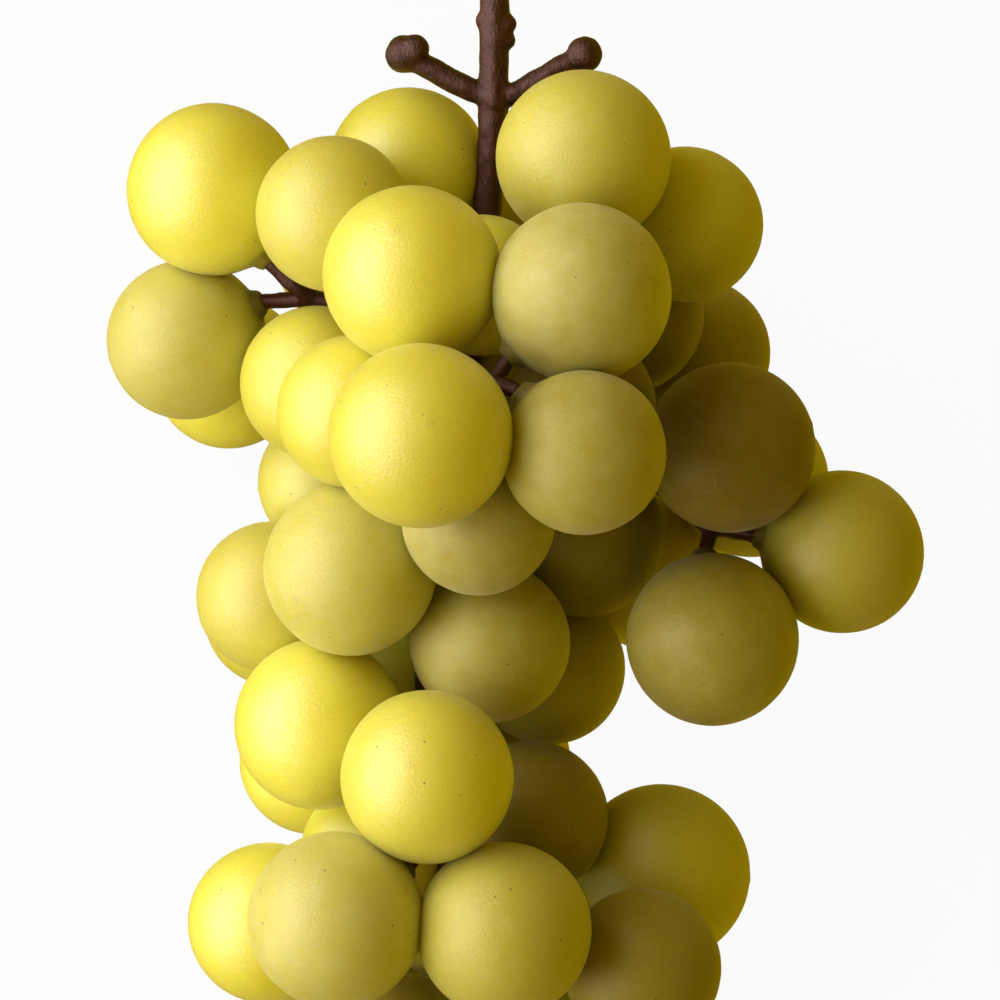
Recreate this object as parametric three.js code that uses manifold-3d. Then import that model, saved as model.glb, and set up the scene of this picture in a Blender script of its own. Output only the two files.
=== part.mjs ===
// A bunch of green table grapes, lying on its back on a flat surface.
// X runs across the bunch, Y along it with the stalk's cut end at +Y, and Z up.
// Each berry is one solid with a collar where its stem enters, and the whole branched stalk is another.
// Lengths are in millimetres.
import * as THREE from "three";
import { mergeVertices } from "three/addons/utils/BufferGeometryUtils.js";
import Module from "manifold-3d";

const wasm = await Module();
wasm.setup();

// Berries
const GAP = 0.35; // air between any two pieces
const SEEN_FROM = 600; // height above the bunch's middle from which its berries were read
const BERRY_SIDES = 12;
const BERRY_RINGS = [24, 54, 85, 116, 148]; // degrees from the stem end
const BLOSSOM_POINT = 0.3; // how far the small point at the far end stands out
const COLLAR_HEIGHT = 2.4;
const COLLAR_RIM = 2.3;
const COLLAR_FOOT = 3.5;
const COLLAR_WAIST = { across: 0.87, up: 0.45 }; // shares of its foot and height, where its side bends
const LEAST_COLLAR = 0.55; // a collar in a tight place is smaller by up to this factor

// The surface that the bunch lies on, below its middle, and how flat its lowest berries are pressed
const SURFACE = -42;
const PRESSED = 0.9;

// Stalk
const STEM_RADIUS = 1.95;
const TAIL_RADIUS = 1.3;
const ARM_RADIUS = 1.5;
const PEDICEL_RADIUS = 1.05;
const STALK_SIDES = 7;
const PEDICEL_SIDES = 5;
const THINNEST_STEM = 0.7;
const STALK_STEP = 5; // length of one straight stretch of a stem
const CELL = 1.5; // grid on which the stems look for their way between the berries

// A berry as seen from above: where it looks to be across and along the bunch, its depth above the
// bunch's middle, its width, and the direction of its collar where that shows.
const berries = [];
function berry(across, along, depth, width, more = {}) {
  berries.push({ across, along, depth, width, centre: new THREE.Vector3(), ...more });
}

// Left shoulder
berry(-40.5, 44.0, -4, 23.4, { collar: [0.61, -0.79, 0.1] });
berry(-23.8, 40.2, 10, 21.0);
berry(-13.4, 46.9, -8, 21.6);
berry(-44.5, 22.1, -10, 21.6, { collar: [0.88, 0.43, 0.2] });
berry(-38.6, 17.6, -31, 20.7, { rests: true });
berry(-26.3, 16.7, -1, 20.7);
berry(-20.7, 12.5, 18, 20.7);
berry(-24.4, 2.5, -16, 19.6);

// Right shoulder
berry(11.8, 48.3, 16, 23.8);
berry(12.0, 29.4, 30, 24.5, { collar: [-0.75, -0.66, 0] });
berry(26.7, 38.7, 2, 21.0);
berry(18.5, 25.5, -13, 20.7);
berry(28.1, 20.4, -31, 20.2, { rests: true });
berry(33.0, 7.4, 12, 23.1);
berry(36.0, 2.7, -14, 20.7);
berry(48.7, -7.4, 4, 22.0, { collar: [-0.98, 0.19, 0] });

// Front
berry(-12.5, 31.7, 27, 24.4);
berry(12.3, 6.0, 36, 22.3, { collar: [-0.72, 0.69, 0] });
berry(-11.1, 9.0, 40, 25.1);
berry(-2.8, -2.5, 22, 20.9);
berry(12.2, 13.7, 4, 19.6);
berry(-2.8, 29.8, 6, 19.0);
berry(-2.1, 13.7, -16, 18.5);

// Middle
berry(-21.4, -9.9, 14, 23.5);
berry(-32.6, -13.6, -6, 20.4);
berry(12.6, -5.3, -5, 21.8);
berry(29.9, -20.3, 10, 23.4, { collar: [-0.08, 0.92, -0.38] });
berry(21.8, -10.1, -25, 21.8);
berry(-1.1, -20.6, 6, 21.7);
berry(7.4, -24.1, -14, 20.7);
berry(-15.4, -28.0, -13, 19.0);
berry(-25.9, -31.2, 6, 23.2);
berry(-26.9, -36.8, -25, 19.6);

// Lower end, as far as the view goes
berry(-10.2, -38.8, 28, 23.5);
berry(4.9, -44.0, 0, 20.7);
berry(0.7, -36.4, -28, 18.5);
berry(-18.2, -49.0, -6, 19.6);
berry(23.3, -52.4, -9, 24.1);
berry(20.7, -65.5, 12, 21.3);
berry(0.7, -60.5, 26, 23.8);
berry(-23.6, -59.1, 26, 23.9, { collar: [0.75, 0.5, -0.45] });
berry(-33.2, -59.1, 6, 21.6);
berry(-8.4, -56.0, -20, 18.5);
berry(-13.7, -77.6, 10, 20.7);

// Tail, bent down to the surface
berry(8, -81, 8, 21, { free: true });
berry(-26, -75, -14, 20, { free: true });
berry(18, -77, -16, 20, { free: true });
berry(-15, -94, -12, 20, { free: true });
berry(4, -97, -12, 20, { free: true });
berry(-4, -85, -31, 20, { free: true, rests: true });
berry(-5, -107, -30, 19, { free: true, rests: true });

// Underside
berry(3, 36, -28, 20, { free: true });
berry(-22, 34, -27, 19, { free: true });
berry(-14, 9, -32, 20, { free: true, rests: true });
berry(6, 2, -32, 20, { free: true, rests: true });
berry(-31, -16, -29, 20, { free: true, rests: true });
berry(-12, -20, -32, 20, { free: true, rests: true });
berry(-14, -60, -31, 20, { free: true, rests: true });
berry(10, -60, -31, 21, { free: true, rests: true });

// The main stem's middle line, from its cut end down to the tail
const STEM_LINE = [
  [-0.5, 84, 0.5], [-0.7, 77, 0], [-0.7, 70, -0.5], [-0.8, 62, -1], [-0.9, 55, -1.5], [-1.1, 47, -3],
  [-1.3, 39, -5], [-1.6, 31, -7], [-2, 22, -4], [-3, 13, 0], [-5, 3, -2], [-7, -6, -4], [-9, -13, -4],
  [-12, -21, -1], [-12, -29, 4], [-11, -37, 6], [-9.5, -45, 5], [-9.8, -53, 4], [-11, -61, 2],
  [-10, -69, -2], [-8, -77, -8], [-6, -86, -14], [-5, -95, -19],
].map((p) => new THREE.Vector3(...p));
const STEM_STRAIGHT_ABOVE = 50; // above this it is bare, and stands as drawn

// Two bare arms on the main stem, each ending in a round knob
const ARMS = [
  [[-0.9, 56.5, -1.2], [-4.6, 57.6, -1], [-9, 60, -0.6], [-13.3, 62.3, -0.5]],
  [[-0.9, 56, -1.2], [2.2, 56.9, -1], [6.6, 59.4, -0.6], [11.9, 62.4, -0.5]],
];
const KNOBS = [
  { at: [-13.4, 62.4, -0.5], radius: 2.5 },
  { at: [-11.9, 63.0, 0.6], radius: 1.9 },
  { at: [11.9, 62.4, -0.5], radius: 2.35 },
];
const STEM_BUMPS = [
  { at: [1.1, 66.6, -0.4], radius: 1.3 },
  { at: [1.0, 64.3, -0.6], radius: 1.2 },
  { at: [-2.2, 67.2, -0.6], radius: 1.2 },
  { at: [-0.8, 56.3, -1.2], radius: 2.5 },
];

// Joining and cutting
const SAME_CORNER = 1e-4;
function solidOf(geometry) {
  const bare = geometry.clone();
  bare.deleteAttribute("normal");
  bare.deleteAttribute("uv");
  const merged = mergeVertices(bare, SAME_CORNER);
  return new wasm.Manifold(
    new wasm.Mesh({
      numProp: 3,
      vertProperties: merged.attributes.position.array,
      triVerts: new Uint32Array(merged.index.array),
    }),
  );
}

function geometryOf(solid) {
  const mesh = solid.getMesh();
  const geometry = new THREE.BufferGeometry();
  geometry.setAttribute("position", new THREE.BufferAttribute(mesh.vertProperties, 3));
  geometry.setIndex(new THREE.BufferAttribute(mesh.triVerts, 1));
  geometry.computeVertexNormals();
  return geometry;
}

// A berry's real place and size. One that is nearer to the eye looks larger and further out.
function place(b) {
  const nearer = 1 - b.depth / SEEN_FROM;
  b.radius = (b.width / 2) * nearer;
  if (!b.moved) b.centre.set(b.across * nearer, b.along * nearer, b.depth);
}

// Pushes two berries apart: seen ones in depth alone, keeping which is in front, others any way.
function part(a, b) {
  const apart = a.centre.clone().sub(b.centre);
  const need = a.radius + b.radius + GAP;
  if (apart.length() >= need) return;
  if (a.free || b.free) {
    const push = apart.setLength(need - apart.length());
    const share = a.free && b.free ? 0.5 : 1;
    if (a.free) shift(a, push.clone().multiplyScalar(share));
    if (b.free) shift(b, push.clone().multiplyScalar(-share));
    return;
  }
  const side = Math.hypot(apart.x, apart.y);
  const front = a.first > b.first ? 1 : -1;
  const missing = Math.sqrt(need * need - side * side) - front * apart.z;
  const share = a.rests || b.rests ? 1 : 0.5;
  if (!a.rests) a.depth += front * missing * share;
  if (!b.rests) b.depth -= front * missing * share;
  place(a);
  place(b);
}

function shift(b, by) {
  b.moved = true;
  if (b.rests) by.z = 0;
  b.centre.add(by);
  b.centre.z = Math.max(b.centre.z, SURFACE + b.radius - PRESSED);
}

// Berries that lie on the surface are pressed flat on it by the same small amount.
for (const b of berries) {
  b.first = b.depth;
  place(b);
  if (b.rests) {
    b.depth = SURFACE + b.radius - PRESSED;
    place(b);
  }
}

// The seen berries settle first, then the main stem bends clear of them, and then the hidden berries
// settle round both.
const seen = berries.filter((b) => !b.free);
const SETTLE_ROUNDS = 600;
for (let round = 0; round < SETTLE_ROUNDS; round++)
  for (const [i, a] of seen.entries()) for (const b of seen.slice(i + 1)) part(a, b);

// Moves points off the berries, and off the surface, until each is clear by its own radius.
function clear(point, radius, among) {
  for (const b of among) {
    const out = point.clone().sub(b.centre);
    const need = b.radius + radius + GAP;
    if (out.length() < need) point.add(out.setLength(need - out.length()));
  }
  point.z = Math.max(point.z, SURFACE + radius + GAP);
}

// The main stem's line, redrawn with its points a few millimetres apart, is smoothed and bent clear.
const STEM_POINTS = 60;
const STEM_EVEN = 0.2; // share of its length, from the cut end, over which it keeps its thickness
const stemLine = new THREE.CatmullRomCurve3(STEM_LINE).getSpacedPoints(STEM_POINTS - 1);
const stemRadius = (along) =>
  THREE.MathUtils.lerp(STEM_RADIUS, TAIL_RADIUS, Math.max(0, along - STEM_EVEN) / (1 - STEM_EVEN));
const BEND_ROUNDS = 400;
const SMOOTH_PART = 0.8; // share of the rounds in which a line is also smoothed
const STEM_SMOOTHING = 0.3;
const STEM_SPARE = 0.1; // more room than the gap, because its few sides cut across the bends
for (let round = 0; round < BEND_ROUNDS; round++)
  stemLine.forEach((point, i) => {
    if (point.y > STEM_STRAIGHT_ABOVE) return;
    const next = stemLine[i + 1];
    if (next && round < BEND_ROUNDS * SMOOTH_PART)
      point.lerp(stemLine[i - 1].clone().lerp(next, 0.5), STEM_SMOOTHING);
    clear(point, stemRadius(i / STEM_POINTS) + STEM_SPARE, seen);
  });

// The hidden berries settle round the seen ones and the main stem.
for (let round = 0; round < SETTLE_ROUNDS; round++) {
  for (const [i, a] of berries.entries())
    for (const b of berries.slice(i + 1)) if (a.free || b.free) part(a, b);
  for (const b of berries.filter((one) => one.free))
    for (const bead of stemLine) {
      const out = b.centre.clone().sub(bead);
      const need = b.radius + STEM_RADIUS + GAP;
      if (out.length() < need) shift(b, out.setLength(need - out.length()));
    }
}

// How much room a point has to the nearest berry, apart from its own.
function roomAt(point, own) {
  let room = Infinity;
  for (const b of berries) if (b !== own) room = Math.min(room, point.distanceTo(b.centre) - b.radius);
  return room;
}

// The space between the berries as a grid: the room that each cell has, up to MOST_ROOM.
const MOST_ROOM = 6;
const bounds = new THREE.Box3();
for (const b of berries) {
  bounds.expandByPoint(b.centre.clone().subScalar(b.radius));
  bounds.expandByPoint(b.centre.clone().addScalar(b.radius));
}
const cells = bounds.getSize(new THREE.Vector3()).divideScalar(CELL).ceil();
const cellAt = (x, y, z) => x + cells.x * (y + cells.y * z);
const pointOf = (cell) =>
  new THREE.Vector3(
    cell % cells.x,
    Math.floor(cell / cells.x) % cells.y,
    Math.floor(cell / (cells.x * cells.y)),
  ).multiplyScalar(CELL).add(bounds.min);
const cellOf = (point) => {
  const at = point.clone().sub(bounds.min).divideScalar(CELL).round();
  return cellAt(
    THREE.MathUtils.clamp(at.x, 1, cells.x - 2),
    THREE.MathUtils.clamp(at.y, 1, cells.y - 2),
    THREE.MathUtils.clamp(at.z, 1, cells.z - 2),
  );
};
const room = new Float32Array(cells.x * cells.y * cells.z).fill(MOST_ROOM);

// Lowers the room of the cells near a ball.
function fillBall(centre, radius) {
  const reach = radius + MOST_ROOM;
  const from = centre.clone().subScalar(reach).sub(bounds.min).divideScalar(CELL).ceil();
  const to = centre.clone().addScalar(reach).sub(bounds.min).divideScalar(CELL).floor();
  const here = new THREE.Vector3();
  for (let z = Math.max(0, from.z); z <= Math.min(cells.z - 1, to.z); z++)
    for (let y = Math.max(0, from.y); y <= Math.min(cells.y - 1, to.y); y++)
      for (let x = Math.max(0, from.x); x <= Math.min(cells.x - 1, to.x); x++) {
        here.set(x, y, z).multiplyScalar(CELL).add(bounds.min);
        const cell = cellAt(x, y, z);
        room[cell] = Math.min(room[cell], here.distanceTo(centre) - radius);
      }
}
for (const b of berries) fillBall(b.centre, b.radius);

// Side stems leave the main stem at its joints, below its bare length, and pass it by between them.
const JOINT_EVERY = 4;
const JOINTS_BELOW = 38;
const stemJoints = stemLine.filter((point, i) => i % JOINT_EVERY === 0 && point.y < JOINTS_BELOW);
for (const point of stemLine) fillBall(point, STEM_RADIUS);

// Which free cells lie in open sight of an eye above, with no berry over them
const NEEDED = PEDICEL_RADIUS + GAP;
const eye = new THREE.Vector3(0, 0, SEEN_FROM);
const inSight = room.map((free, cell) => {
  if (free < NEEDED || free >= MOST_ROOM) return 0;
  const point = pointOf(cell);
  const view = new THREE.Ray(eye, point.clone().sub(eye).normalize());
  const covers = (b) => b.centre.z > point.z && view.distanceSqToPoint(b.centre) < b.radius ** 2;
  return berries.some(covers) ? 0 : 1;
});

// Spreads from the main stem through the free cells, so that each knows its shortest way back to it.
// A way that several berries share is made shorter, so that side stems form.
const steps = [];
for (const x of [-1, 0, 1])
  for (const y of [-1, 0, 1])
    for (const z of [-1, 0, 1])
      if (x || y || z) steps.push({ to: cellAt(x, y, z), length: Math.hypot(x, y, z) });
const WAVE = 0.25; // cost of one wave of the spread, in millimetres
const SHARED_EASE = 0.2; // how much shorter a way counts where another berry's stem goes already
const SIGHT_COST = 2.5; // how much longer it counts in open sight
function spread(shared) {
  const cost = new Float32Array(room.length).fill(Infinity);
  const back = new Int32Array(room.length).fill(-1);
  const waves = [[]];
  for (const joint of stemJoints)
    for (const step of [{ to: 0 }, ...steps]) {
      const cell = cellOf(joint) + step.to;
      cost[cell] = 0;
      waves[0].push(cell);
    }
  for (let wave = 0; wave < waves.length; wave++)
    for (const cell of waves[wave] ?? []) {
      if (Math.round(cost[cell] / WAVE) !== wave) continue;
      for (const step of steps) {
        const next = cell + step.to;
        if (!(room[next] >= NEEDED && room[next] < MOST_ROOM)) continue;
        const ease = (shared.has(next) ? SHARED_EASE : 1) * (inSight[next] ? SIGHT_COST : 1);
        const far = cost[cell] + step.length * CELL * ease;
        if (far >= cost[next] - 1e-3) continue;
        cost[next] = far;
        back[next] = cell;
        (waves[Math.round(far / WAVE)] ??= []).push(next);
      }
    }
  return { cost, back };
}

// The directions that a collar may point in, spread evenly over a ball
const DIRECTION_COUNT = 200;
const DIRECTIONS = Array.from({ length: DIRECTION_COUNT }, (_, i) => {
  const z = 1 - (2 * i + 1) / DIRECTION_COUNT;
  const turn = i * Math.PI * (3 - Math.sqrt(5));
  const flat = Math.sqrt(1 - z * z);
  return new THREE.Vector3(flat * Math.cos(turn), flat * Math.sin(turn), z);
});
const EXIT = 2.4; // straight stretch of stem above a collar
const SHOWING = 12; // how much longer a way may be, to keep a seen berry's collar out of sight
const SHOWS_FROM = -0.2; // height of the direction from which a collar starts to show
const SMALLNESS = 8; // how much longer a way may be, to give it a full collar
const FOOT_HEIGHT = 0.8; // height over the ball at which the collar's foot needs its room

// How large a collar fits a berry in one direction, and where its stem leaves it
function collarOn(b, way) {
  const out = (length) => b.centre.clone().addScaledVector(way, b.radius + length);
  const toStem = (point) => Math.min(...stemLine.map((one) => one.distanceTo(point))) - STEM_RADIUS;
  const space = (point) => Math.min(roomAt(point, b), toStem(point)) - GAP;
  const foot = space(out(FOOT_HEIGHT)) / COLLAR_FOOT;
  const rim = space(out(COLLAR_HEIGHT)) / COLLAR_RIM;
  const size = Math.min(1, foot, rim);
  return { way, size, exit: out(COLLAR_HEIGHT * size + EXIT) };
}

// Other stems pass a collar by as they pass a ball of nearly its width, set into the berry's end.
const COLLAR_BALL = { up: 0.9, narrower: 0.1 };

const firstWays = spread(new Set());
for (const b of berries) {
  const wishes = b.collar ? [new THREE.Vector3(...b.collar).normalize()] : DIRECTIONS;
  let best = null;
  for (const way of wishes) {
    const collar = collarOn(b, way);
    if (b.collar) collar.size = Math.max(collar.size, LEAST_COLLAR);
    if (collar.size < LEAST_COLLAR) continue;
    const home = firstWays.cost[cellOf(collar.exit)];
    if (!b.collar && !(roomAt(collar.exit, b) > NEEDED && home < Infinity)) continue;
    const shows = b.free ? 0 : SHOWING * Math.max(0, way.z - SHOWS_FROM);
    collar.score = (home < Infinity ? home : 0) + shows + SMALLNESS * (1 - collar.size);
    if (!best || collar.score < best.score) best = collar;
  }
  if (!best) throw new Error("no room for a collar on the berry at " + b.centre.toArray());
  Object.assign(b, { way: best.way, size: best.size, exit: best.exit });
  b.tip = b.centre.clone().addScaledVector(b.way, b.radius + COLLAR_HEIGHT * b.size + GAP);
  b.collarBall = {
    centre: b.centre.clone().addScaledVector(b.way, b.radius + COLLAR_BALL.up * b.size),
    radius: (COLLAR_FOOT - COLLAR_BALL.narrower) * b.size,
  };
}
for (const b of berries) fillBall(b.collarBall.centre, b.collarBall.radius);

// The way of one berry's stem, as cells from its collar back to the main stem. It starts at the cell
// near the collar from which the rest, and the jump to that cell, are the shortest.
const JUMP_COST = 1.5;
function wayHome(b, { cost, back }) {
  const start = cellOf(b.exit);
  const whole = (cell) => cost[cell] + JUMP_COST * pointOf(cell).distanceTo(b.exit);
  let best = -1;
  for (const one of [{ to: 0 }, ...steps])
    for (const two of [{ to: 0 }, ...steps]) {
      const cell = start + one.to + two.to;
      if (best < 0 || whole(cell) < whole(best)) best = cell;
    }
  if (!(cost[best] < Infinity)) throw new Error("no way home for the berry at " + b.centre.toArray());
  const way = [best];
  while (back[way.at(-1)] >= 0) way.push(back[way.at(-1)]);
  return way;
}

// The outermost berries find their way first, a few at a time, and the others are drawn to join them.
const BATCH = 2;
const wayLength = (b) => firstWays.cost[cellOf(b.exit)];
const outermostFirst = berries.toSorted((a, b) => wayLength(b) - wayLength(a));
const shared = new Set();
for (let i = 0; i < outermostFirst.length; i += BATCH) {
  const ways = spread(shared);
  const batch = outermostFirst.slice(i, i + BATCH);
  for (const b of batch) b.home = wayHome(b, ways);
  for (const b of batch) for (const cell of b.home) shared.add(cell);
}

// The branches as a tree of points. Each knows the next point towards the main stem, and its load, the
// number of berries that hang on it.
const tree = [];
function grow(point, held, next) {
  const knot = { point, held, next, load: 0, from: [] };
  if (next) next.from.push(knot);
  tree.push(knot);
  return knot;
}
const knots = new Map();
const roots = new Map();
function rootAt(joint) {
  if (!roots.has(joint)) roots.set(joint, grow(joint.clone(), true, null));
  return roots.get(joint);
}
for (const b of outermostFirst) {
  const joins = b.home.findIndex((cell) => knots.has(cell));
  let next = joins < 0 ? null : knots.get(b.home[joins]);
  for (const cell of b.home.slice(0, joins < 0 ? undefined : joins).toReversed()) {
    const point = pointOf(cell);
    next ??= rootAt(stemJoints.reduce((a, one) => (one.distanceTo(point) < a.distanceTo(point) ? one : a)));
    next = grow(point, false, next);
    knots.set(cell, next);
  }
  const exit = grow(b.exit.clone(), true, next);
  const tip = grow(b.tip.clone(), true, exit);
  exit.berry = tip.berry = b;
  for (let knot = tip; knot; knot = knot.next) knot.load++;
}

// The branches draw tight like a stretched net, and stay clear of the berries and their collars.
const THICKENING = 0.3; // power of its load with which a branch grows thicker
const THICKEST_BRANCH = 1.65;
const radiusOf = (knot) => Math.min(PEDICEL_RADIUS * knot.load ** THICKENING, THICKEST_BRANCH);
const TIGHTEN_ROUNDS = 160;
const TIGHTENING = 0.4;
const BRANCH_SPARE = 0.08; // more room than the gap, as on the main stem
const collarBalls = berries.map((b) => b.collarBall);
for (let round = 0; round < TIGHTEN_ROUNDS; round++)
  for (const knot of tree) {
    if (knot.held) continue;
    const near = [knot.next, ...knot.from];
    const middle = new THREE.Vector3();
    for (const other of near) middle.addScaledVector(other.point, 1 / near.length);
    if (round < TIGHTEN_ROUNDS * SMOOTH_PART) knot.point.lerp(middle, TIGHTENING);
    const thick = Math.min(radiusOf(knot), Math.max(PEDICEL_RADIUS, roomAt(knot.point) - GAP));
    clear(knot.point, thick + BRANCH_SPARE, berries);
    clear(knot.point, PEDICEL_RADIUS, collarBalls);
  }

// A closed tube of few sides along a curve. Its radius follows the share of its length that is behind.
const FIRST_SIDE = 0.3; // turns the sides a little, so that no two tubes' edges fall together
const ON_RING = 1e-3;
function tube(curve, radiusAt, sides, pieces) {
  const section = Array.from({ length: sides }, (_, i) => {
    const turn = ((i + FIRST_SIDE) / sides) * 2 * Math.PI;
    return new THREE.Vector2(Math.cos(turn), Math.sin(turn));
  });
  const geometry = new THREE.ExtrudeGeometry(new THREE.Shape(section), {
    steps: pieces,
    extrudePath: curve,
    bevelEnabled: false,
  });
  const rings = curve.getSpacedPoints(pieces);
  const corners = geometry.getAttribute("position");
  const corner = new THREE.Vector3();
  for (let i = 0; i < corners.count; i++) {
    corner.fromBufferAttribute(corners, i);
    const ring = rings.findIndex((point) => Math.abs(point.distanceTo(corner) - 1) < ON_RING);
    corner.sub(rings[ring]).multiplyScalar(radiusAt(ring / pieces)).add(rings[ring]);
    corners.setXYZ(i, corner.x, corner.y, corner.z);
  }
  return solidOf(geometry);
}

function ball(at, radius, detail) {
  return solidOf(new THREE.IcosahedronGeometry(radius, detail).translate(...at));
}

// The stalk: main stem, arms with knobs, and the branches, joined into one solid
const ARM_PIECES = 4;
const stalkPieces = [];
const stemCurve = new THREE.CatmullRomCurve3(stemLine);
stalkPieces.push(tube(stemCurve, stemRadius, STALK_SIDES, Math.round(stemCurve.getLength() / STALK_STEP)));
for (const arm of ARMS) {
  const curve = new THREE.CatmullRomCurve3(arm.map((p) => new THREE.Vector3(...p)));
  stalkPieces.push(tube(curve, () => ARM_RADIUS, STALK_SIDES, ARM_PIECES));
}
for (const knob of KNOBS) stalkPieces.push(ball(knob.at, knob.radius, 1));
for (const bump of STEM_BUMPS) stalkPieces.push(ball(bump.at, bump.radius, 0));

// Each stretch of a branch from a fork or a collar down to the next fork has one thickness.
for (const knot of tree) {
  const starts = knot.next && (knot.from.length !== 1 || knot.load !== knot.from[0].load);
  if (!starts) continue;
  const stretch = [knot];
  do stretch.push(stretch.at(-1).next);
  while (stretch.at(-1).next && stretch.at(-1).from.length === 1);
  const points = stretch.map((one) => one.point);
  const space = Math.min(...stretch.map((one) => roomAt(one.point, one.berry) - GAP));
  const radius = Math.min(radiusOf(knot), Math.max(space, THINNEST_STEM));
  const curve = new THREE.CatmullRomCurve3(points);
  const pieces = Math.max(1, Math.round(curve.getLength() / STALK_STEP));
  stalkPieces.push(tube(curve, () => radius, PEDICEL_SIDES, pieces));
}

// Its corners are rounded to a fine grid, so that no two are nearly alike, and only its outer body is
// kept, so that a hollow sealed where branches cross is filled.
const FINE = 0.002;
const joined = geometryOf(wasm.Manifold.union(stalkPieces));
const corners = joined.getAttribute("position").array;
corners.forEach((value, i) => (corners[i] = Math.round(value / FINE) * FINE));
const [stalk] = solidOf(joined).decompose().sort((a, b) => b.volume() - a.volume());

// A berry: a ball with a flared collar at the stem end and a small point at the other, turned on Y
function berryGeometry(radius, size) {
  const onBall = (degrees) => {
    const turn = THREE.MathUtils.degToRad(degrees);
    return new THREE.Vector2(radius * Math.sin(turn), radius * Math.cos(turn));
  };
  const onCollar = (across, up) => new THREE.Vector2(across * size, radius + up * size);
  const profile = [
    onCollar(0, COLLAR_HEIGHT),
    onCollar(COLLAR_RIM, COLLAR_HEIGHT),
    onCollar(COLLAR_FOOT * COLLAR_WAIST.across, COLLAR_HEIGHT * COLLAR_WAIST.up),
    ...BERRY_RINGS.map(onBall),
    new THREE.Vector2(0, -radius - BLOSSOM_POINT),
  ];
  return new THREE.LatheGeometry(profile.reverse(), BERRY_SIDES);
}

const bunch = new THREE.Group();
const skin = new THREE.MeshStandardMaterial({
  name: "grape_skin",
  color: "#c9b93a",
  roughness: 0.42,
  metalness: 0,
});
const bark = new THREE.MeshStandardMaterial({
  name: "stalk_bark",
  color: "#4a2a26",
  roughness: 0.6,
  metalness: 0,
});

// The surface cuts the small flats on the berries that lie on it.
const CUTTER = 60;
for (const [i, b] of berries.entries()) {
  const turn = new THREE.Quaternion().setFromUnitVectors(new THREE.Vector3(0, 1, 0), b.way);
  let solid = solidOf(berryGeometry(b.radius, b.size).applyQuaternion(turn));
  const below = SURFACE - b.centre.z;
  if (below > -b.radius - BLOSSOM_POINT) {
    const cutter = new THREE.BoxGeometry(CUTTER, CUTTER, CUTTER).translate(0, 0, below - CUTTER / 2);
    solid = solid.subtract(solidOf(cutter));
  }
  const mesh = new THREE.Mesh(geometryOf(solid), skin);
  mesh.name = "berry_" + String(i + 1).padStart(2, "0");
  mesh.position.copy(b.centre);
  bunch.add(mesh);
}

const stalkMesh = new THREE.Mesh(geometryOf(stalk), bark);
stalkMesh.name = "stalk";
bunch.add(stalkMesh);

// The origin is under the middle of the bunch, on the surface that it lies on.
const ORIGIN_STEP = 0.01;
const whole = new THREE.Box3().setFromObject(bunch, true);
const origin = whole.getCenter(new THREE.Vector3());
origin.divideScalar(ORIGIN_STEP).round().multiplyScalar(ORIGIN_STEP).setZ(SURFACE);
bunch.children.forEach((mesh) => mesh.position.sub(origin));

export default bunch;
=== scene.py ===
# A bunch of green grapes lying on its back on a white table, seen straight from above.
# Everything is in metres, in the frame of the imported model: +Y towards the stalk's cut end, +Z up.
import math

import bmesh
import bpy
import numpy as np
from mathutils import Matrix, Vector, noise


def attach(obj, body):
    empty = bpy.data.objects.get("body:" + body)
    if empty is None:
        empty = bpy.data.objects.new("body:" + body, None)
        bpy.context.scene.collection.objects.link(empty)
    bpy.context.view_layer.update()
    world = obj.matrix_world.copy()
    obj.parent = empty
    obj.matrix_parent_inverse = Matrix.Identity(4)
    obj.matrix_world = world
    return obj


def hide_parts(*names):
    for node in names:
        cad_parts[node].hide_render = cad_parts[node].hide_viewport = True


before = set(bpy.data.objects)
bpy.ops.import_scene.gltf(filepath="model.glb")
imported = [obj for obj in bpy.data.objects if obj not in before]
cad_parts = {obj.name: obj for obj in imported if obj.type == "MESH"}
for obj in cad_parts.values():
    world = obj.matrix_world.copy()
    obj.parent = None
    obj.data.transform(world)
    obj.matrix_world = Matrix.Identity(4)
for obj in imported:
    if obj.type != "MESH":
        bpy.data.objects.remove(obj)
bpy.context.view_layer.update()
MM = 0.001


# The view. The camera hangs straight above the bunch, with the stalk at the top of the picture, as
# the photograph faces the bunch. The front berry's middle fixes where it looks.
VIEW_FROM = 600 * MM  # height of the eye over the bunch's middle
VIEW_WIDTH = 140 * MM  # what the picture spans at the height of the bunch's middle
BUNCH_MIDDLE = 42 * MM  # height of the bunch's middle over the table
FRONT_BERRY = "berry_19"
FRONT_BERRY_SIDEWAYS = -10.34 * MM  # the front berry's middle from the picture's middle
FRONT_BERRY_UPWARDS = 8.38 * MM
SENSOR = 36.0  # mm
SIGHT = 20  # metres
FITS = 12  # rounds of the fit below
MOST = 0.6  # share of a berry's corners that each round keeps
ON_BALL = 0.02 * MM  # corners this near the ball are always kept


def ball_of(node):
    """The middle and radius of the ball that most corners of a CAD berry lie on, and the corners."""
    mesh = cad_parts[node].data
    corners = np.empty(len(mesh.vertices) * 3)
    mesh.vertices.foreach_get("co", corners)
    corners = np.unique(np.round(corners.reshape(-1, 3), 7), axis=0)
    kept = corners
    for _ in range(FITS):
        columns = np.hstack([2 * kept, np.ones((len(kept), 1))])
        solved = np.linalg.lstsq(columns, (kept**2).sum(1), rcond=None)[0]
        middle = solved[:3]
        radius = math.sqrt(solved[3] + middle @ middle)
        off = np.abs(np.linalg.norm(corners - middle, axis=1) - radius)
        kept = corners[off <= max(np.quantile(off, MOST), ON_BALL)]
    return middle, radius, corners


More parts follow.
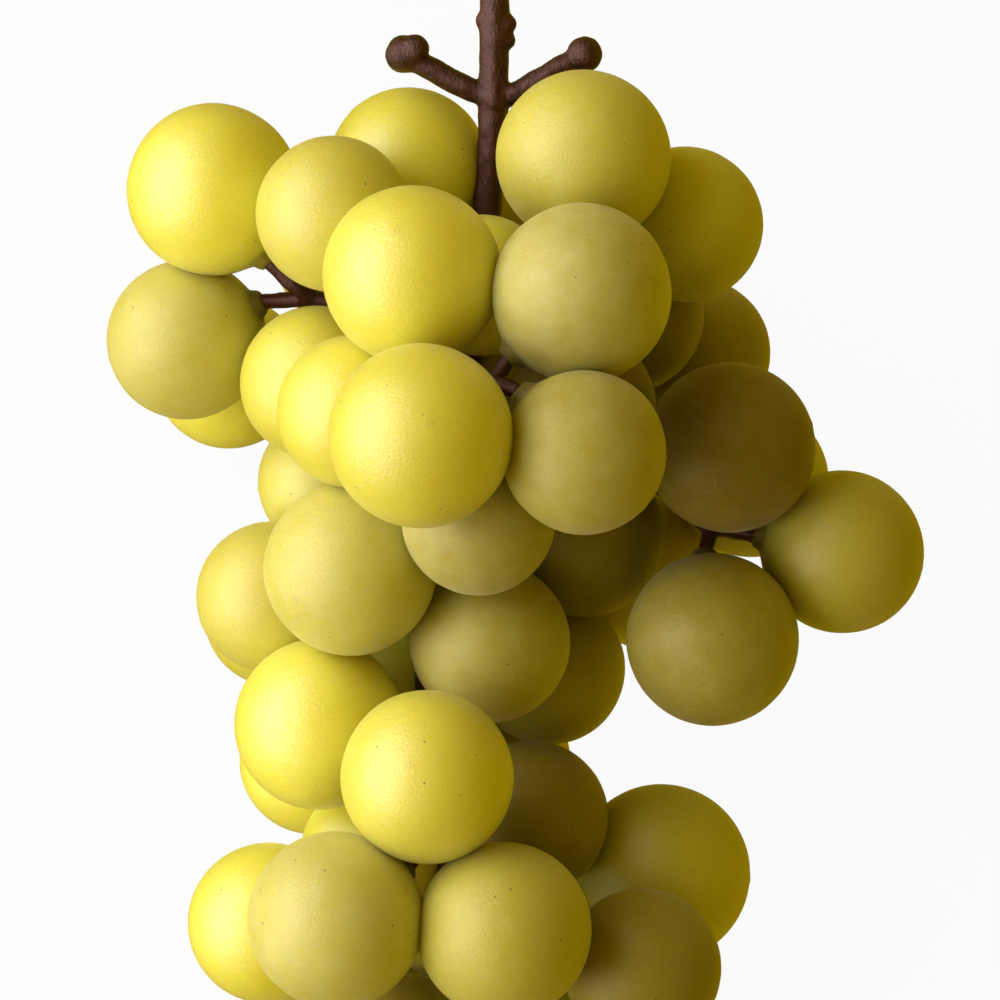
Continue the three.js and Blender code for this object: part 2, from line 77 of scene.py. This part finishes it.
front_middle = ball_of(FRONT_BERRY)[0]
eye = bpy.data.cameras.new("camera")
eye.sensor_width = SENSOR
eye.lens = SENSOR * VIEW_FROM / VIEW_WIDTH
eye.clip_end = SIGHT
camera = bpy.data.objects.new("camera", eye)
camera.location = (
    front_middle[0] - FRONT_BERRY_SIDEWAYS,
    front_middle[1] - FRONT_BERRY_UPWARDS,
    BUNCH_MIDDLE + VIEW_FROM,
)
bpy.context.scene.collection.objects.link(camera)
bpy.context.scene.camera = camera


# The table: a photographer's light table under a matt white sheet. It glows of its own, so it stays
# an even white round the bunch. It lights no berry and shows in no berry's shine.
TABLE_HALF = 6.0  # metres
TABLE_BELOW = 0.01 * MM  # the sheet lies this far under the berries' flats


def linear(colour):
    """An sRGB hex colour as linear RGBA."""
    parts = [int(colour[i : i + 2], 16) / 255 for i in (1, 3, 5)]
    return [p / 12.92 if p <= 0.04045 else ((p + 0.055) / 1.055) ** 2.4 for p in parts] + [1.0]


def add(tree, kind, inputs=None, **settings):
    """Adds a node with its settings. An input is a value, an output, or a node for its first output."""
    made = tree.nodes.new(kind)
    for name, value in settings.items():
        setattr(made, name, value)
    for key, value in (inputs or {}).items():
        named = (s for s in made.inputs if s.name == key and s.enabled)
        socket = made.inputs[key] if isinstance(key, int) else next(named)
        if isinstance(value, bpy.types.Node):
            value = next(s for s in value.outputs if s.enabled)
        if isinstance(value, bpy.types.NodeSocket):
            tree.links.new(value, socket)
        else:
            socket.default_value = value
    return made


paper = bpy.data.materials.new("matt_white_paper")
paper.use_nodes = True
paper.node_tree.nodes.clear()
paper_shader = add(
    paper.node_tree,
    "ShaderNodeBsdfPrincipled",
    {
        "Base Color": linear("#242424"),
        "Roughness": 0.9,
        "Emission Color": linear("#ffffff"),
        "Emission Strength": 0.945,
    },
)
add(paper.node_tree, "ShaderNodeOutputMaterial", {"Surface": paper_shader})
table_mesh = bpy.data.meshes.new("table")
table_corners = [(-1, -1), (1, -1), (1, 1), (-1, 1)]
table_points = [(x * TABLE_HALF, y * TABLE_HALF, -TABLE_BELOW) for x, y in table_corners]
table_mesh.from_pydata(table_points, [], [(0, 1, 2, 3)])
table_mesh.materials.append(paper)
table = bpy.data.objects.new("table", table_mesh)
table.visible_diffuse = False
table.visible_glossy = False
bpy.context.scene.collection.objects.link(table)


# The light: a large soft window low on the left, in a dim, warm yellow room. The berries on the left
# shade those on the right, which fall off to a dark olive brown; their skins are also painted darker
# below, as painted shade.
WINDOW = (1.7, 0.95)  # metres, across and up
WINDOW_WAY = (-1.0, 0.15, 0.56)  # from the bunch
WINDOW_FROM = 0.9  # metres
WINDOW_POWER = 19.0  # watts
ROOM_GLOW = 0.36
lamp = bpy.data.lights.new("left_window", "AREA")
lamp.shape = "RECTANGLE"
lamp.size, lamp.size_y = WINDOW
lamp.energy = WINDOW_POWER
lamp.color = linear("#f8f6ff")[:3]
window = bpy.data.objects.new("left_window", lamp)
out = Vector(WINDOW_WAY).normalized()
window.location = Vector((0, 0, BUNCH_MIDDLE)) + WINDOW_FROM * out
window.rotation_euler = out.to_track_quat("Z", "Y").to_euler()
bpy.context.scene.collection.objects.link(window)
room = bpy.data.worlds.new("warm_room")
room.use_nodes = True
room.node_tree.nodes["Background"].inputs["Color"].default_value = linear("#ffe028")
room.node_tree.nodes["Background"].inputs["Strength"].default_value = ROOM_GLOW
bpy.context.scene.world = room
bpy.context.scene.view_settings.view_transform = "Standard"


# The skin of the grapes: waxy moulded skin over pale flesh, lemon to a dark brown olive. The dark
# olive end is partly painted shade: it darkens the berries that lie in the bunch's shadow, on the right
# and at the back. Light sinks in some millimetres and comes out warmer, so shaded sides turn brown.
# Bloom, a thin dull film of wax, lies on it in patches, with faint bowed scuffs a millimetre or two long
# and a few dark specks. Towards the collar the skin turns a matt dark brown.
CLOUD = 8.0  # mm, width of the clouds in the flesh
FILM = 3.0  # mm, width of the bloom's patches
FILM_COVER = (0.15, 0.5)  # how much of the flesh's colour full bloom hides, at its thinnest and thickest
SPECK_EVERY = 2.2  # mm
SPECK_WIDE = 0.10  # share of the spacing
SPECK_DARK = 0.75  # how much of the skin's colour a speck's middle hides
SPECK_ABOVE = 0.72  # cells whose random number is above this have a speck
SCUFF_EVERY = 4.2  # mm
SCUFF = (0.7, 0.08, 1.0)  # mm, half the length and half the width of a scuff; its depth isn't limited
SCUFF_BOW = 2.5  # half-widths by which its ends bend away
SCUFF_PALE = 0.12  # how much of it a scuff hides
SCUFF_ABOVE = 0.75  # cells whose random number is above this have a scuff
COLLAR_BROWN = 0.8  # how much of it the collar's brown hides
SCAR_BROWN = 0.15  # the same at the far end
DEEP = 9.0  # mm, how far light sinks in
SHALLOW = 1.2  # mm, the same in the tough collar
GRAIN = 0.45  # mm, the skin's fine pitting, drawn about twice as coarse as it is

skin = bpy.data.materials.new("waxy_grape_skin")
skin.use_nodes = True
skin.node_tree.nodes.clear()
tree = skin.node_tree
place = add(tree, "ShaderNodeTexCoord").outputs["Object"]
seed = add(tree, "ShaderNodeAttribute", attribute_name="seed").outputs["Fac"]
# dullness, partly painted shade: the shadowed berries get a darker olive skin
dullness_and_shade = add(tree, "ShaderNodeAttribute", attribute_name="dullness_and_shade").outputs["Fac"]
bloom = add(tree, "ShaderNodeAttribute", attribute_name="bloom").outputs["Fac"]
near_collar = add(tree, "ShaderNodeAttribute", attribute_name="near_collar").outputs["Fac"]
blossom = add(tree, "ShaderNodeAttribute", attribute_name="blossom").outputs["Fac"]

clouds = add(
    tree,
    "ShaderNodeTexNoise",
    {"Vector": place, "W": seed, "Scale": 1 / (CLOUD * MM), "Detail": 2.0},
    noise_dimensions="4D",
)
film = add(
    tree,
    "ShaderNodeTexNoise",
    {"Vector": place, "W": seed, "Scale": 1 / (FILM * MM), "Detail": 5.0, "Roughness": 0.6},
    noise_dimensions="4D",
)
lemon_ends = {"Factor": clouds, "A": linear("#dfd636"), "B": linear("#ebe646")}
lemon = add(tree, "ShaderNodeMix", lemon_ends, data_type="RGBA")
# the olive end is a dark brown olive, partly painted shade for the shadowed berries
olive_and_shade_ends = {"Factor": clouds, "A": linear("#6c5806"), "B": linear("#7f6e0e")}
olive_and_shade = add(tree, "ShaderNodeMix", olive_and_shade_ends, data_type="RGBA")
# lemon to olive by dullness, which is partly painted shade
flesh_and_shade = add(tree, "ShaderNodeMix", {"Factor": dullness_and_shade, "A": lemon, "B": olive_and_shade}, data_type="RGBA")
filmed = add(
    tree,
    "ShaderNodeMapRange",
    {"Value": film, "From Min": 0.3, "From Max": 0.7, "To Min": FILM_COVER[0], "To Max": FILM_COVER[1]},
)
bloomed = add(tree, "ShaderNodeMath", {0: filmed, 1: bloom}, operation="MULTIPLY")
waxed = add(tree, "ShaderNodeMix", {"Factor": bloomed, "A": flesh_and_shade, "B": linear("#d4d29c")}, data_type="RGBA")

cells = add(tree, "ShaderNodeTexVoronoi", {"Vector": place, "Scale": 1 / (SPECK_EVERY * MM)})
speck_here = add(
    tree,
    "ShaderNodeMapRange",
    {
        "Value": cells.outputs["Distance"],
        "From Min": SPECK_WIDE * 0.5,
        "From Max": SPECK_WIDE,
        "To Min": SPECK_DARK,
        "To Max": 0.0,
    },
)
chosen = add(tree, "ShaderNodeSeparateColor", {"Color": cells.outputs["Color"]})
few = add(tree, "ShaderNodeMath", {0: chosen.outputs["Red"], 1: SPECK_ABOVE}, operation="GREATER_THAN")
specks = add(tree, "ShaderNodeMath", {0: speck_here, 1: few}, operation="MULTIPLY")
specked = add(
    tree, "ShaderNodeMix", {"Factor": specks, "A": waxed, "B": linear("#5c4a14")}, data_type="RGBA"
)

scuff_cells = add(tree, "ShaderNodeTexVoronoi", {"Vector": place, "Scale": 1 / (SCUFF_EVERY * MM)})
from_middle = add(
    tree, "ShaderNodeVectorMath", {0: place, 1: scuff_cells.outputs["Position"]}, operation="SUBTRACT"
)
tumble = add(
    tree, "ShaderNodeVectorMath", {0: scuff_cells.outputs["Color"], "Scale": math.tau}, operation="SCALE"
)
laid = add(
    tree, "ShaderNodeVectorRotate", {"Vector": from_middle, "Rotation": tumble}, rotation_type="EULER_XYZ"
)
per_scuff = [1 / (length * MM) for length in SCUFF]
lengths = add(tree, "ShaderNodeVectorMath", {0: laid, 1: per_scuff}, operation="MULTIPLY")
spans = add(tree, "ShaderNodeSeparateXYZ", {0: lengths})
bend = add(tree, "ShaderNodeMath", {0: spans.outputs["X"], 1: 2.0}, operation="POWER")
bowed = add(tree, "ShaderNodeMath", {0: bend, 1: SCUFF_BOW, 2: spans.outputs["Y"]}, operation="MULTIPLY_ADD")
off_line = add(tree, "ShaderNodeMath", {0: bowed}, operation="ABSOLUTE")
off_ends = add(tree, "ShaderNodeMath", {0: spans.outputs["X"]}, operation="ABSOLUTE")
off = add(tree, "ShaderNodeMath", {0: off_line, 1: off_ends}, operation="MAXIMUM")
line = add(
    tree, "ShaderNodeMapRange", {"Value": off, "From Min": 1.0, "From Max": 0.4, "To Max": SCUFF_PALE}
)
drawn = add(tree, "ShaderNodeSeparateColor", {"Color": scuff_cells.outputs["Color"]})
some = add(tree, "ShaderNodeMath", {0: drawn.outputs["Green"], 1: SCUFF_ABOVE}, operation="GREATER_THAN")
scuffs = add(tree, "ShaderNodeMath", {0: line, 1: some}, operation="MULTIPLY")
scuffed = add(
    tree, "ShaderNodeMix", {"Factor": scuffs, "A": specked, "B": linear("#f2ecb4")}, data_type="RGBA"
)

ripe = add(tree, "ShaderNodeMath", {0: near_collar, 1: COLLAR_BROWN}, operation="MULTIPLY")
collared = add(
    tree, "ShaderNodeMix", {"Factor": ripe, "A": scuffed, "B": linear("#4a360a")}, data_type="RGBA"
)
scar = add(tree, "ShaderNodeMath", {0: blossom, 1: SCAR_BROWN}, operation="MULTIPLY")
coloured = add(
    tree, "ShaderNodeMix", {"Factor": scar, "A": collared, "B": linear("#6b5718")}, data_type="RGBA"
)

grain = add(tree, "ShaderNodeTexNoise", {"Vector": place, "Scale": 1 / (GRAIN * MM), "Detail": 2.0})
rough_clean = add(tree, "ShaderNodeMapRange", {"Value": film, "To Min": 0.44, "To Max": 0.56})
rough = add(tree, "ShaderNodeMath", {0: bloomed, 1: 0.35, 2: rough_clean}, operation="MULTIPLY_ADD")
pits = add(tree, "ShaderNodeBump", {"Strength": 0.35, "Distance": 0.06 * MM, "Height": grain})
waves = add(tree, "ShaderNodeBump", {"Strength": 0.5, "Distance": 0.12 * MM, "Height": film, "Normal": pits})
cut = add(
    tree, "ShaderNodeBump", {"Strength": 0.6, "Distance": 0.05 * MM, "Height": scuffs, "Normal": waves}
)
matt = add(tree, "ShaderNodeMath", {0: dullness_and_shade, 1: near_collar}, operation="MAXIMUM")
gloss = add(tree, "ShaderNodeMapRange", {"Value": matt, "To Min": 1.0, "To Max": 0.25})
tint = add(
    tree, "ShaderNodeMix", {"Factor": matt, "A": linear("#ffffff"), "B": linear("#ffe890")}, data_type="RGBA"
)
depth = add(tree, "ShaderNodeMapRange", {"Value": near_collar, "To Min": DEEP * MM, "To Max": SHALLOW * MM})
coat_pits = add(tree, "ShaderNodeBump", {"Strength": 1.0, "Distance": 0.25 * MM, "Height": grain})
skin_shader = add(
    tree,
    "ShaderNodeBsdfPrincipled",
    {
        "Base Color": coloured,
        "Roughness": rough,
        "IOR": 1.5,
        "Specular IOR Level": gloss,
        "Specular Tint": tint,
        "Normal": cut,
        "Subsurface Weight": 1.0,
        "Subsurface Radius": (1.0, 0.72, 0.05),
        "Subsurface Scale": depth,
        "Coat Weight": gloss,
        "Coat Roughness": 0.3,
        "Coat Normal": coat_pits,
        "Sheen Weight": 0.12,
        "Sheen Roughness": 0.45,
    },
)
add(tree, "ShaderNodeOutputMaterial", {"Surface": skin_shader})


# The berries: round, 19 to 25 mm across, each a soft moulded ball. A flared collar stands where the
# stem goes in, a faint point at the far end, and a berry that lies on the table is pressed flat there.
SEGMENTS = 72
RINGS = 56
CROWDING = 1.6  # above 1, the rings lie closer together at the collar
RIM_HEIGHT = 2.1  # mm, the full collar's rim over its flare
RIM_FALL = (11.5, 25.5)  # degrees from the stem's line, on a berry of the usual size
FLARE_HEIGHT = 0.35  # mm
FLARE_FALL = (18.0, 42.0)
COLLAR_SHADE = (14.0, 44.0)  # degrees, where the collar's brown fades out
POINT_HEIGHT = 0.1  # mm, at the far end
POINT_WIDE = 6.0  # degrees
SCAR_WIDE = 2.5  # degrees
USUAL_RADIUS = 10.5  # mm
SWELLING = 0.03  # of the radius, from the leanest side to the fullest
SWELLS = 0.9  # of them across the radius
DENT = 0.1  # mm
DENTS = 3.2  # of them across the radius
OVER_TABLE = (-1.0, -1.0, 0.0)  # metres, the least place of a berry's skin; sideways it isn't limited
STANDING = 2.4  # mm, how far a full CAD collar stands over its ball

grape = bpy.data.node_groups.new("grape_berry", "GeometryNodeTree")
sockets = {}
for name, kind in (
    ("Middle", "NodeSocketVector"),
    ("Stem way", "NodeSocketVector"),
    ("Radius", "NodeSocketFloat"),
    ("Collar size", "NodeSocketFloat"),
    ("Seed", "NodeSocketFloat"),
    ("Dullness and shade", "NodeSocketFloat"),
    ("Bloom", "NodeSocketFloat"),
    ("Skin", "NodeSocketMaterial"),
):
    sockets[name] = grape.interface.new_socket(name, in_out="INPUT", socket_type=kind).identifier
grape.interface.new_socket("Geometry", in_out="OUTPUT", socket_type="NodeSocketGeometry")
given = add(grape, "NodeGroupInput").outputs

# A ball of radius 1, its rings crowded towards +Z, where the stem comes in
ball = add(grape, "GeometryNodeMeshUVSphere", {"Segments": SEGMENTS, "Rings": RINGS, "Radius": 1.0})
spot = add(grape, "ShaderNodeSeparateXYZ", {0: add(grape, "GeometryNodeInputPosition")})
arc = add(grape, "ShaderNodeMath", {0: spot.outputs["Z"]}, operation="ARCCOSINE")
share = add(grape, "ShaderNodeMath", {0: arc, 1: math.pi}, operation="DIVIDE")
crowded = add(grape, "ShaderNodeMath", {0: share, 1: CROWDING}, operation="POWER")
angle = add(grape, "ShaderNodeMath", {0: crowded, 1: math.pi}, operation="MULTIPLY")
around = add(grape, "ShaderNodeMath", {0: spot.outputs["Y"], 1: spot.outputs["X"]}, operation="ARCTAN2")
width = add(grape, "ShaderNodeMath", {0: angle}, operation="SINE")
height = add(grape, "ShaderNodeMath", {0: angle}, operation="COSINE")
cosine = add(grape, "ShaderNodeMath", {0: around}, operation="COSINE")
sine = add(grape, "ShaderNodeMath", {0: around}, operation="SINE")
across = add(grape, "ShaderNodeMath", {0: width, 1: cosine}, operation="MULTIPLY")
along = add(grape, "ShaderNodeMath", {0: width, 1: sine}, operation="MULTIPLY")
bearing = add(grape, "ShaderNodeCombineXYZ", {"X": across, "Y": along, "Z": height})

# The collar's angles are for the usual berry, and narrow on a larger berry or a smaller collar
arc_length = add(grape, "ShaderNodeMath", {0: angle, 1: given["Radius"]}, operation="MULTIPLY")
usual_arc = add(
    grape, "ShaderNodeMath", {0: given["Collar size"], 1: USUAL_RADIUS * MM}, operation="MULTIPLY"
)
collar_angle = add(grape, "ShaderNodeMath", {0: arc_length, 1: usual_arc}, operation="DIVIDE")
far_angle = add(grape, "ShaderNodeMath", {0: math.pi, 1: angle}, operation="SUBTRACT")
falls = {}
for name, measured, (start, end), top in (
    ("rim", collar_angle, RIM_FALL, RIM_HEIGHT * MM),
    ("flare", collar_angle, FLARE_FALL, FLARE_HEIGHT * MM),
    ("near_collar", collar_angle, COLLAR_SHADE, 1.0),
    ("point", far_angle, (0.0, POINT_WIDE), POINT_HEIGHT * MM),
    ("blossom", far_angle, (0.0, SCAR_WIDE), 1.0),
):
    falls[name] = add(
        grape,
        "ShaderNodeMapRange",
        {
            "Value": measured,
            "From Min": math.radians(start),
            "From Max": math.radians(end),
            "To Min": top,
            "To Max": 0.0,
        },
        interpolation_type="SMOOTHERSTEP",
    )
full_collar = add(grape, "ShaderNodeMath", {0: falls["rim"], 1: falls["flare"]}, operation="ADD")
collar = add(grape, "ShaderNodeMath", {0: full_collar, 1: given["Collar size"]}, operation="MULTIPLY")

# Each berry swells and dents in its own way, by its seed
swell = add(
    grape,
    "ShaderNodeTexNoise",
    {"Vector": bearing, "W": given["Seed"], "Scale": SWELLS, "Detail": 1.0},
    noise_dimensions="4D",
)
swell_share = add(grape, "ShaderNodeMath", {0: swell, 1: 0.5}, operation="SUBTRACT")
swell_most = add(grape, "ShaderNodeMath", {0: given["Radius"], 1: SWELLING}, operation="MULTIPLY")
swelling = add(grape, "ShaderNodeMath", {0: swell_share, 1: swell_most}, operation="MULTIPLY")
dent = add(
    grape,
    "ShaderNodeTexNoise",
    {"Vector": bearing, "W": given["Seed"], "Scale": DENTS, "Detail": 2.0},
    noise_dimensions="4D",
)
dent_share = add(grape, "ShaderNodeMath", {0: dent, 1: 0.5}, operation="SUBTRACT")
denting = add(grape, "ShaderNodeMath", {0: dent_share, 1: DENT * MM}, operation="MULTIPLY")
reach = given["Radius"]
for more in (collar, falls["point"], swelling, denting):
    reach = add(grape, "ShaderNodeMath", {0: reach, 1: more}, operation="ADD")

shape = add(grape, "ShaderNodeVectorMath", {0: bearing, "Scale": reach}, operation="SCALE")
turn = add(grape, "FunctionNodeAlignRotationToVector", {"Vector": given["Stem way"]}, axis="Z")
turned = add(grape, "FunctionNodeRotateVector", {"Vector": shape, "Rotation": turn})
placed = add(grape, "ShaderNodeVectorMath", {0: turned, 1: given["Middle"]}, operation="ADD")
pressed = add(grape, "ShaderNodeVectorMath", {0: placed, 1: OVER_TABLE}, operation="MAXIMUM")
body = ball
for name, value in (
    ("near_collar", falls["near_collar"]),
    ("blossom", falls["blossom"]),
    ("dullness_and_shade", given["Dullness and shade"]),
    ("bloom", given["Bloom"]),
    ("seed", given["Seed"]),
):
    body = add(grape, "GeometryNodeStoreNamedAttribute", {"Geometry": body, "Name": name, "Value": value})
body = add(grape, "GeometryNodeSetPosition", {"Geometry": body, "Position": pressed})
body = add(grape, "GeometryNodeSetShadeSmooth", {"Geometry": body})
body = add(grape, "GeometryNodeRealizeInstances", {"Geometry": body})
body = add(grape, "GeometryNodeSetMaterial", {"Geometry": body, "Material": given["Skin"]})
add(grape, "NodeGroupOutput", {"Geometry": body})

# How dull the berries that show are, from clear lemon at 0 to dark olive at 1, and how much bloom
# they have. The dullness is partly painted shade: berries that their neighbours shade, on the right
# and at the back, get high values, so their skins are painted darker.
DULLNESS_AND_SHADE = {
    1: 0.0, 2: 0.29, 3: 0.08, 4: 0.47, 5: 0.0, 6: 0.23, 7: 0.11, 8: 0.3, 9: 0.36, 10: 0.63, 11: 0.42,
    12: 0.95, 13: 0.82, 14: 1.0, 15: 0.45, 16: 0.6, 17: 0.06, 18: 0.73, 19: 0.14, 20: 0.77, 21: 1.0,
    22: 0.05, 24: 0.37, 25: 0.32, 26: 0.9, 27: 0.78, 28: 0.0, 29: 0.66, 30: 0.68, 31: 0.0, 32: 0.0,
    33: 0.0, 34: 0.13, 35: 0.92, 37: 0.0, 38: 0.42, 39: 0.86, 40: 0.53, 41: 0.44, 42: 0.0,
}
BLOOM = {
    2: 0.4, 4: 0.8, 8: 0.5, 9: 0.5, 10: 1.0, 16: 0.3, 18: 0.6, 20: 0.8, 24: 0.8, 25: 0.5, 27: 0.4, 29: 0.7,
    34: 0.2, 40: 0.4, 41: 0.9,
}
LIKELY = (0.2, 0.8)  # the hidden ones' dullness falls between these
FAINT_BLOOM = 0.15  # on the others
COLLAR_ONLY = 0.8 * MM  # corners that stand this far over the ball belong to the collar
SEED_STEP = 1.37  # from one berry to the next, so that no two look alike
chance = np.random.default_rng(7)
grapes = []
stem_ends = []
for node in sorted(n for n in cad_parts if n.startswith("berry_")):
    number = int(node[-2:])
    middle, radius, corners = ball_of(node)
    out = corners - middle
    high = out[np.linalg.norm(out, axis=1) > radius + COLLAR_ONLY]
    way = high.mean(axis=0)
    way /= np.linalg.norm(way)
    size = ((out @ way).max() - radius) / (STANDING * MM)
    stem_ends.append((middle + way * (radius + STANDING * size * MM), way))
    berry = bpy.data.objects.new("grape_" + node[-2:], bpy.data.meshes.new(node))
    bpy.context.scene.collection.objects.link(berry)
    grow = berry.modifiers.new("grape", "NODES")
    grow.node_group = grape
    grow[sockets["Middle"]] = [float(v) for v in middle]
    grow[sockets["Stem way"]] = [float(v) for v in way]
    grow[sockets["Radius"]] = float(radius)
    grow[sockets["Collar size"]] = float(size)
    grow[sockets["Seed"]] = number * SEED_STEP
    # dullness, partly painted shade: it darkens the skins of the shadowed berries
    grow[sockets["Dullness and shade"]] = DULLNESS_AND_SHADE.get(number, float(chance.uniform(*LIKELY)))
    grow[sockets["Bloom"]] = BLOOM.get(number, FAINT_BLOOM)
    grow[sockets["Skin"]] = skin
    grapes.append((berry, node))
graph = bpy.context.evaluated_depsgraph_get()
for berry, node in grapes:
    ready = berry.evaluated_get(graph)
    grown = bpy.data.meshes.new_from_object(ready, preserve_all_data_layers=True, depsgraph=graph)
    berry.modifiers.clear()
    berry.data = grown
    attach(berry, "root")
    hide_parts(node)


# The stalk: one woody main stem that runs the length of the bunch, with two bare arms that end in
# knobs, and side stems that part into a thin stem for every berry. Its bark is thin and ridged.
INTO_COLLAR = 0.9 * MM  # how far each stem's end goes into its collar
END_REACH = 1.4 * MM  # the corners this near a stem's end belong to it
SAME = 0.001 * MM  # corners this near each other are one
VOXEL = 0.4 * MM
SMOOTHINGS = 5
BARK = 0.3 * MM  # thickness of the bark over the wood
RIDGES = 0.12 * MM
RIDGE_EVERY = 1.8 * MM

wood = bmesh.new()
wood.from_mesh(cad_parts["stalk"].data)
bmesh.ops.remove_doubles(wood, verts=wood.verts, dist=SAME)
for corner in wood.verts:
    for end, way in stem_ends:
        if (corner.co - Vector(end)).length < END_REACH:
            corner.co -= Vector(way) * INTO_COLLAR
bmesh.ops.recalc_face_normals(wood, faces=wood.faces)
rough_mesh = bpy.data.meshes.new("stalk_rough")
wood.to_mesh(rough_mesh)
wood.free()
stalk = bpy.data.objects.new("woody_stalk", rough_mesh)
bpy.context.scene.collection.objects.link(stalk)
melt = stalk.modifiers.new("melt", "REMESH")
melt.mode = "VOXEL"
melt.voxel_size = VOXEL
melt.use_smooth_shade = True
soften = stalk.modifiers.new("soften", "SMOOTH")
soften.factor = 0.5
soften.iterations = SMOOTHINGS
graph = bpy.context.evaluated_depsgraph_get()
bark_mesh = bpy.data.meshes.new_from_object(stalk.evaluated_get(graph), depsgraph=graph)
stalk.modifiers.clear()
for vertex, normal in zip(bark_mesh.vertices, [Vector(n.vector) for n in bark_mesh.vertex_normals]):
    ridge = noise.noise(vertex.co / RIDGE_EVERY) * RIDGES
    vertex.co += normal * (BARK + ridge)
    vertex.co.z = max(vertex.co.z, 0.0)
for face in bark_mesh.polygons:
    face.use_smooth = True

# Grapevine bark: reddish brown, satin, darker in its grooves and paler on its worn ridges, with small
# corky spots. It looks nearly black in the shade among the berries.
FIBRE = (0.6, 1.6, 0.6)  # mm, longer along the bunch
PATCH = 6.0  # mm, width of the worn patches
CORK_EVERY = 2.8  # mm
bark = bpy.data.materials.new("satin_grapevine_bark")
bark.use_nodes = True
bark.node_tree.nodes.clear()
tree = bark.node_tree
place = add(tree, "ShaderNodeTexCoord").outputs["Object"]
per_fibre = [1 / (length * MM) for length in FIBRE]
stretched = add(tree, "ShaderNodeVectorMath", {0: place, 1: per_fibre}, operation="MULTIPLY")
fibres = add(
    tree, "ShaderNodeTexNoise", {"Vector": stretched, "Scale": 1.0, "Detail": 6.0, "Roughness": 0.7}
)
mottle = add(tree, "ShaderNodeMapRange", {"Value": fibres, "From Min": 0.4, "From Max": 0.6})
patches = add(tree, "ShaderNodeTexNoise", {"Vector": place, "Scale": 1 / (PATCH * MM), "Detail": 2.0})
fibre_ends = {"Factor": mottle, "A": linear("#0c0303"), "B": linear("#3c1211")}
red_brown = add(tree, "ShaderNodeMix", fibre_ends, data_type="RGBA")
rubbed = add(
    tree, "ShaderNodeMapRange", {"Value": patches, "From Min": 0.5, "From Max": 0.75, "To Max": 0.4}
)
worn = add(
    tree, "ShaderNodeMix", {"Factor": rubbed, "A": red_brown, "B": linear("#421e1a")}, data_type="RGBA"
)
corks = add(tree, "ShaderNodeTexVoronoi", {"Vector": place, "Scale": 1 / (CORK_EVERY * MM)})
cork = add(
    tree,
    "ShaderNodeMapRange",
    {"Value": corks.outputs["Distance"], "From Min": 0.08, "From Max": 0.16, "To Min": 0.35, "To Max": 0.0},
)
barked = add(tree, "ShaderNodeMix", {"Factor": cork, "A": worn, "B": linear("#503026")}, data_type="RGBA")
bark_rough = add(tree, "ShaderNodeMapRange", {"Value": fibres, "To Min": 0.22, "To Max": 0.42})
grooves = add(tree, "ShaderNodeBump", {"Strength": 1.0, "Distance": 0.25 * MM, "Height": fibres})
bark_shader = add(
    tree,
    "ShaderNodeBsdfPrincipled",
    {
        "Base Color": barked,
        "Roughness": bark_rough,
        "IOR": 1.5,
        "Specular IOR Level": 0.85,
        "Specular Tint": linear("#ffd0c8"),
        "Normal": grooves,
    },
)
add(tree, "ShaderNodeOutputMaterial", {"Surface": bark_shader})
bark_mesh.materials.clear()
bark_mesh.materials.append(bark)
stalk.data = bark_mesh
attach(stalk, "root")
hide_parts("stalk")
